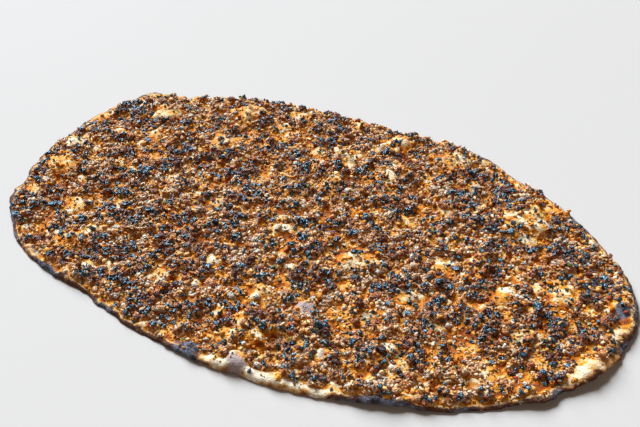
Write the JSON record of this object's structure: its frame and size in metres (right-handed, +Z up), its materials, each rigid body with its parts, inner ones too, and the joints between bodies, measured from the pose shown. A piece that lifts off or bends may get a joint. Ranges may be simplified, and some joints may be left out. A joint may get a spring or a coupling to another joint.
{
  "type": "lahmacun",
  "caption": "Thin oval flatbread baked with a crumbly layer of spiced mince, air blisters and a lightly charred, unevenly turned-up edge.",
  "frame": {"origin": "middle of the bounding box's floor, on the surface that the flat underside rests on", "axes": "+X along the oval's long axis, +Y along its short axis, +Z up through the topping"},
  "size_m": [0.3714, 0.2296, 0.0078],
  "materials": {
    "baked_dough": "dry baked crust, cream to brown, charred in places along the edge",
    "baked_mince": "oily baked mince, brown with blackened crumbs"
  },
  "bodies": {
    "root": {"flatbread": "baked_dough", "mince_topping": "baked_mince"}
  },
  "joints": []
}
